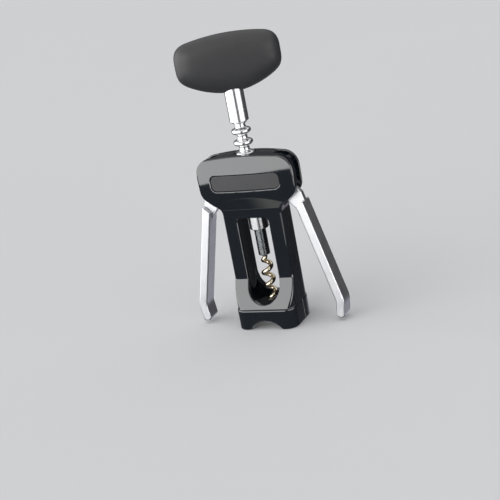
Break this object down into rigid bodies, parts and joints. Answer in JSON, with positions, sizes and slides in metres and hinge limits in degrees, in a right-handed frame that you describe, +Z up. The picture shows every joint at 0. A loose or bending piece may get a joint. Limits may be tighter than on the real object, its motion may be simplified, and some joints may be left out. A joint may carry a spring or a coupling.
{
  "type": "wing corkscrew",
  "caption": "Wing corkscrew with a black two-shell body and window, chrome geared levers, ring rack, wire worm and a soft bar handle; it stands on its base.",
  "frame": {"origin": "on the worm's axis, on the plane that the base stands on", "axes": "+Z up along the worm's axis to the handle, +X to the right lever, -Y to the front with the bare plate"},
  "size_m": [0.0986, 0.0396, 0.1839],
  "materials": {
    "shell_black": "glossy black moulded plastic",
    "plate_black": "satin black plate, bare",
    "bush_black": "plain moulded plastic",
    "steel": "turned steel",
    "lever_chrome": "satin chrome plate",
    "rack_chrome": "bright chrome plate",
    "grip_rubber": "soft matte black rubber",
    "worm_nickel": "pale nickel-plated wire"
  },
  "bodies": {
    "body": {"front_shell": "shell_black", "rear_shell": "shell_black", "label_plate": "plate_black", "shell_screws": "steel", "top_bush": "bush_black", "lower_bush": "bush_black", "left_pivot_pin": "steel", "right_pivot_pin": "steel"},
    "lever_left": {"left_lever": "lever_chrome"},
    "lever_right": {"right_lever": "lever_chrome"},
    "rack": {"ring_rack": "rack_chrome", "end_collar": "rack_chrome", "thrust_washer": "steel"},
    "screw": {"handle_post": "rack_chrome", "handle_core": "bush_black", "handle_grip": "grip_rubber", "handle_pin": "steel", "spindle": "steel", "shank": "steel", "shank_pin": "steel", "worm": "worm_nickel"}
  },
  "joints": [
    {"name": "rack_slide", "type": "slide", "parent": "body", "child": "rack", "axis": [0, 0, -1], "range_m": [0, 0.028]},
    {"name": "handle_spin", "type": "hinge", "parent": "rack", "child": "screw", "pos_m": [0, 0, 0.165], "axis": [0, 0, 1], "continuous": true},
    {"name": "left_swing", "type": "hinge", "parent": "body", "child": "lever_left", "pos_m": [-0.01833, 0, 0.0914], "axis": [0, 1, 0], "range_deg": [0, 117]},
    {"name": "right_swing", "type": "hinge", "parent": "body", "child": "lever_right", "pos_m": [0.01833, 0, 0.0914], "axis": [0, -1, 0], "range_deg": [0, 117]}
  ],
  "couplings": [
    {"joint": "left_swing", "follows": "rack_slide", "rad_per_m": 72.722},
    {"joint": "right_swing", "follows": "rack_slide", "rad_per_m": 72.722}
  ]
}
